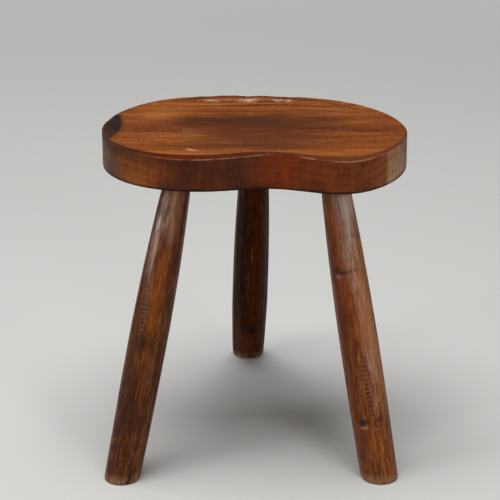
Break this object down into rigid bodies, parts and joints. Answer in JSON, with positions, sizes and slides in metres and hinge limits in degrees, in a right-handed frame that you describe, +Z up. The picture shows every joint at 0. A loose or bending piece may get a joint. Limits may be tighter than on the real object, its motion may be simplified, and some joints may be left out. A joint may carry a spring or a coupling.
{
  "type": "three-legged stool",
  "caption": "Low wooden stool: a thick kidney-shaped plank seat, hollow at the front and bevelled on top, on raked round legs that swell towards the foot and end in blind wedged tenons.",
  "frame": {"origin": "on the floor, below the middle of the stool's overall box", "axes": "+X to the right of someone who faces the hollow front of the seat, +Y away from them towards the single back leg, +Z up"},
  "size_m": [0.3108, 0.3358, 0.33],
  "materials": {
    "seat_wood": "satin varnish, worn",
    "leg_wood": "satin varnish, worn",
    "wedge_wood": "bare"
  },
  "bodies": {
    "root": {"seat": "seat_wood", "leg_front_left": "leg_wood", "leg_front_right": "leg_wood", "leg_back": "leg_wood", "wedge_front_left": "wedge_wood", "wedge_front_right": "wedge_wood", "wedge_back": "wedge_wood"}
  },
  "joints": []
}
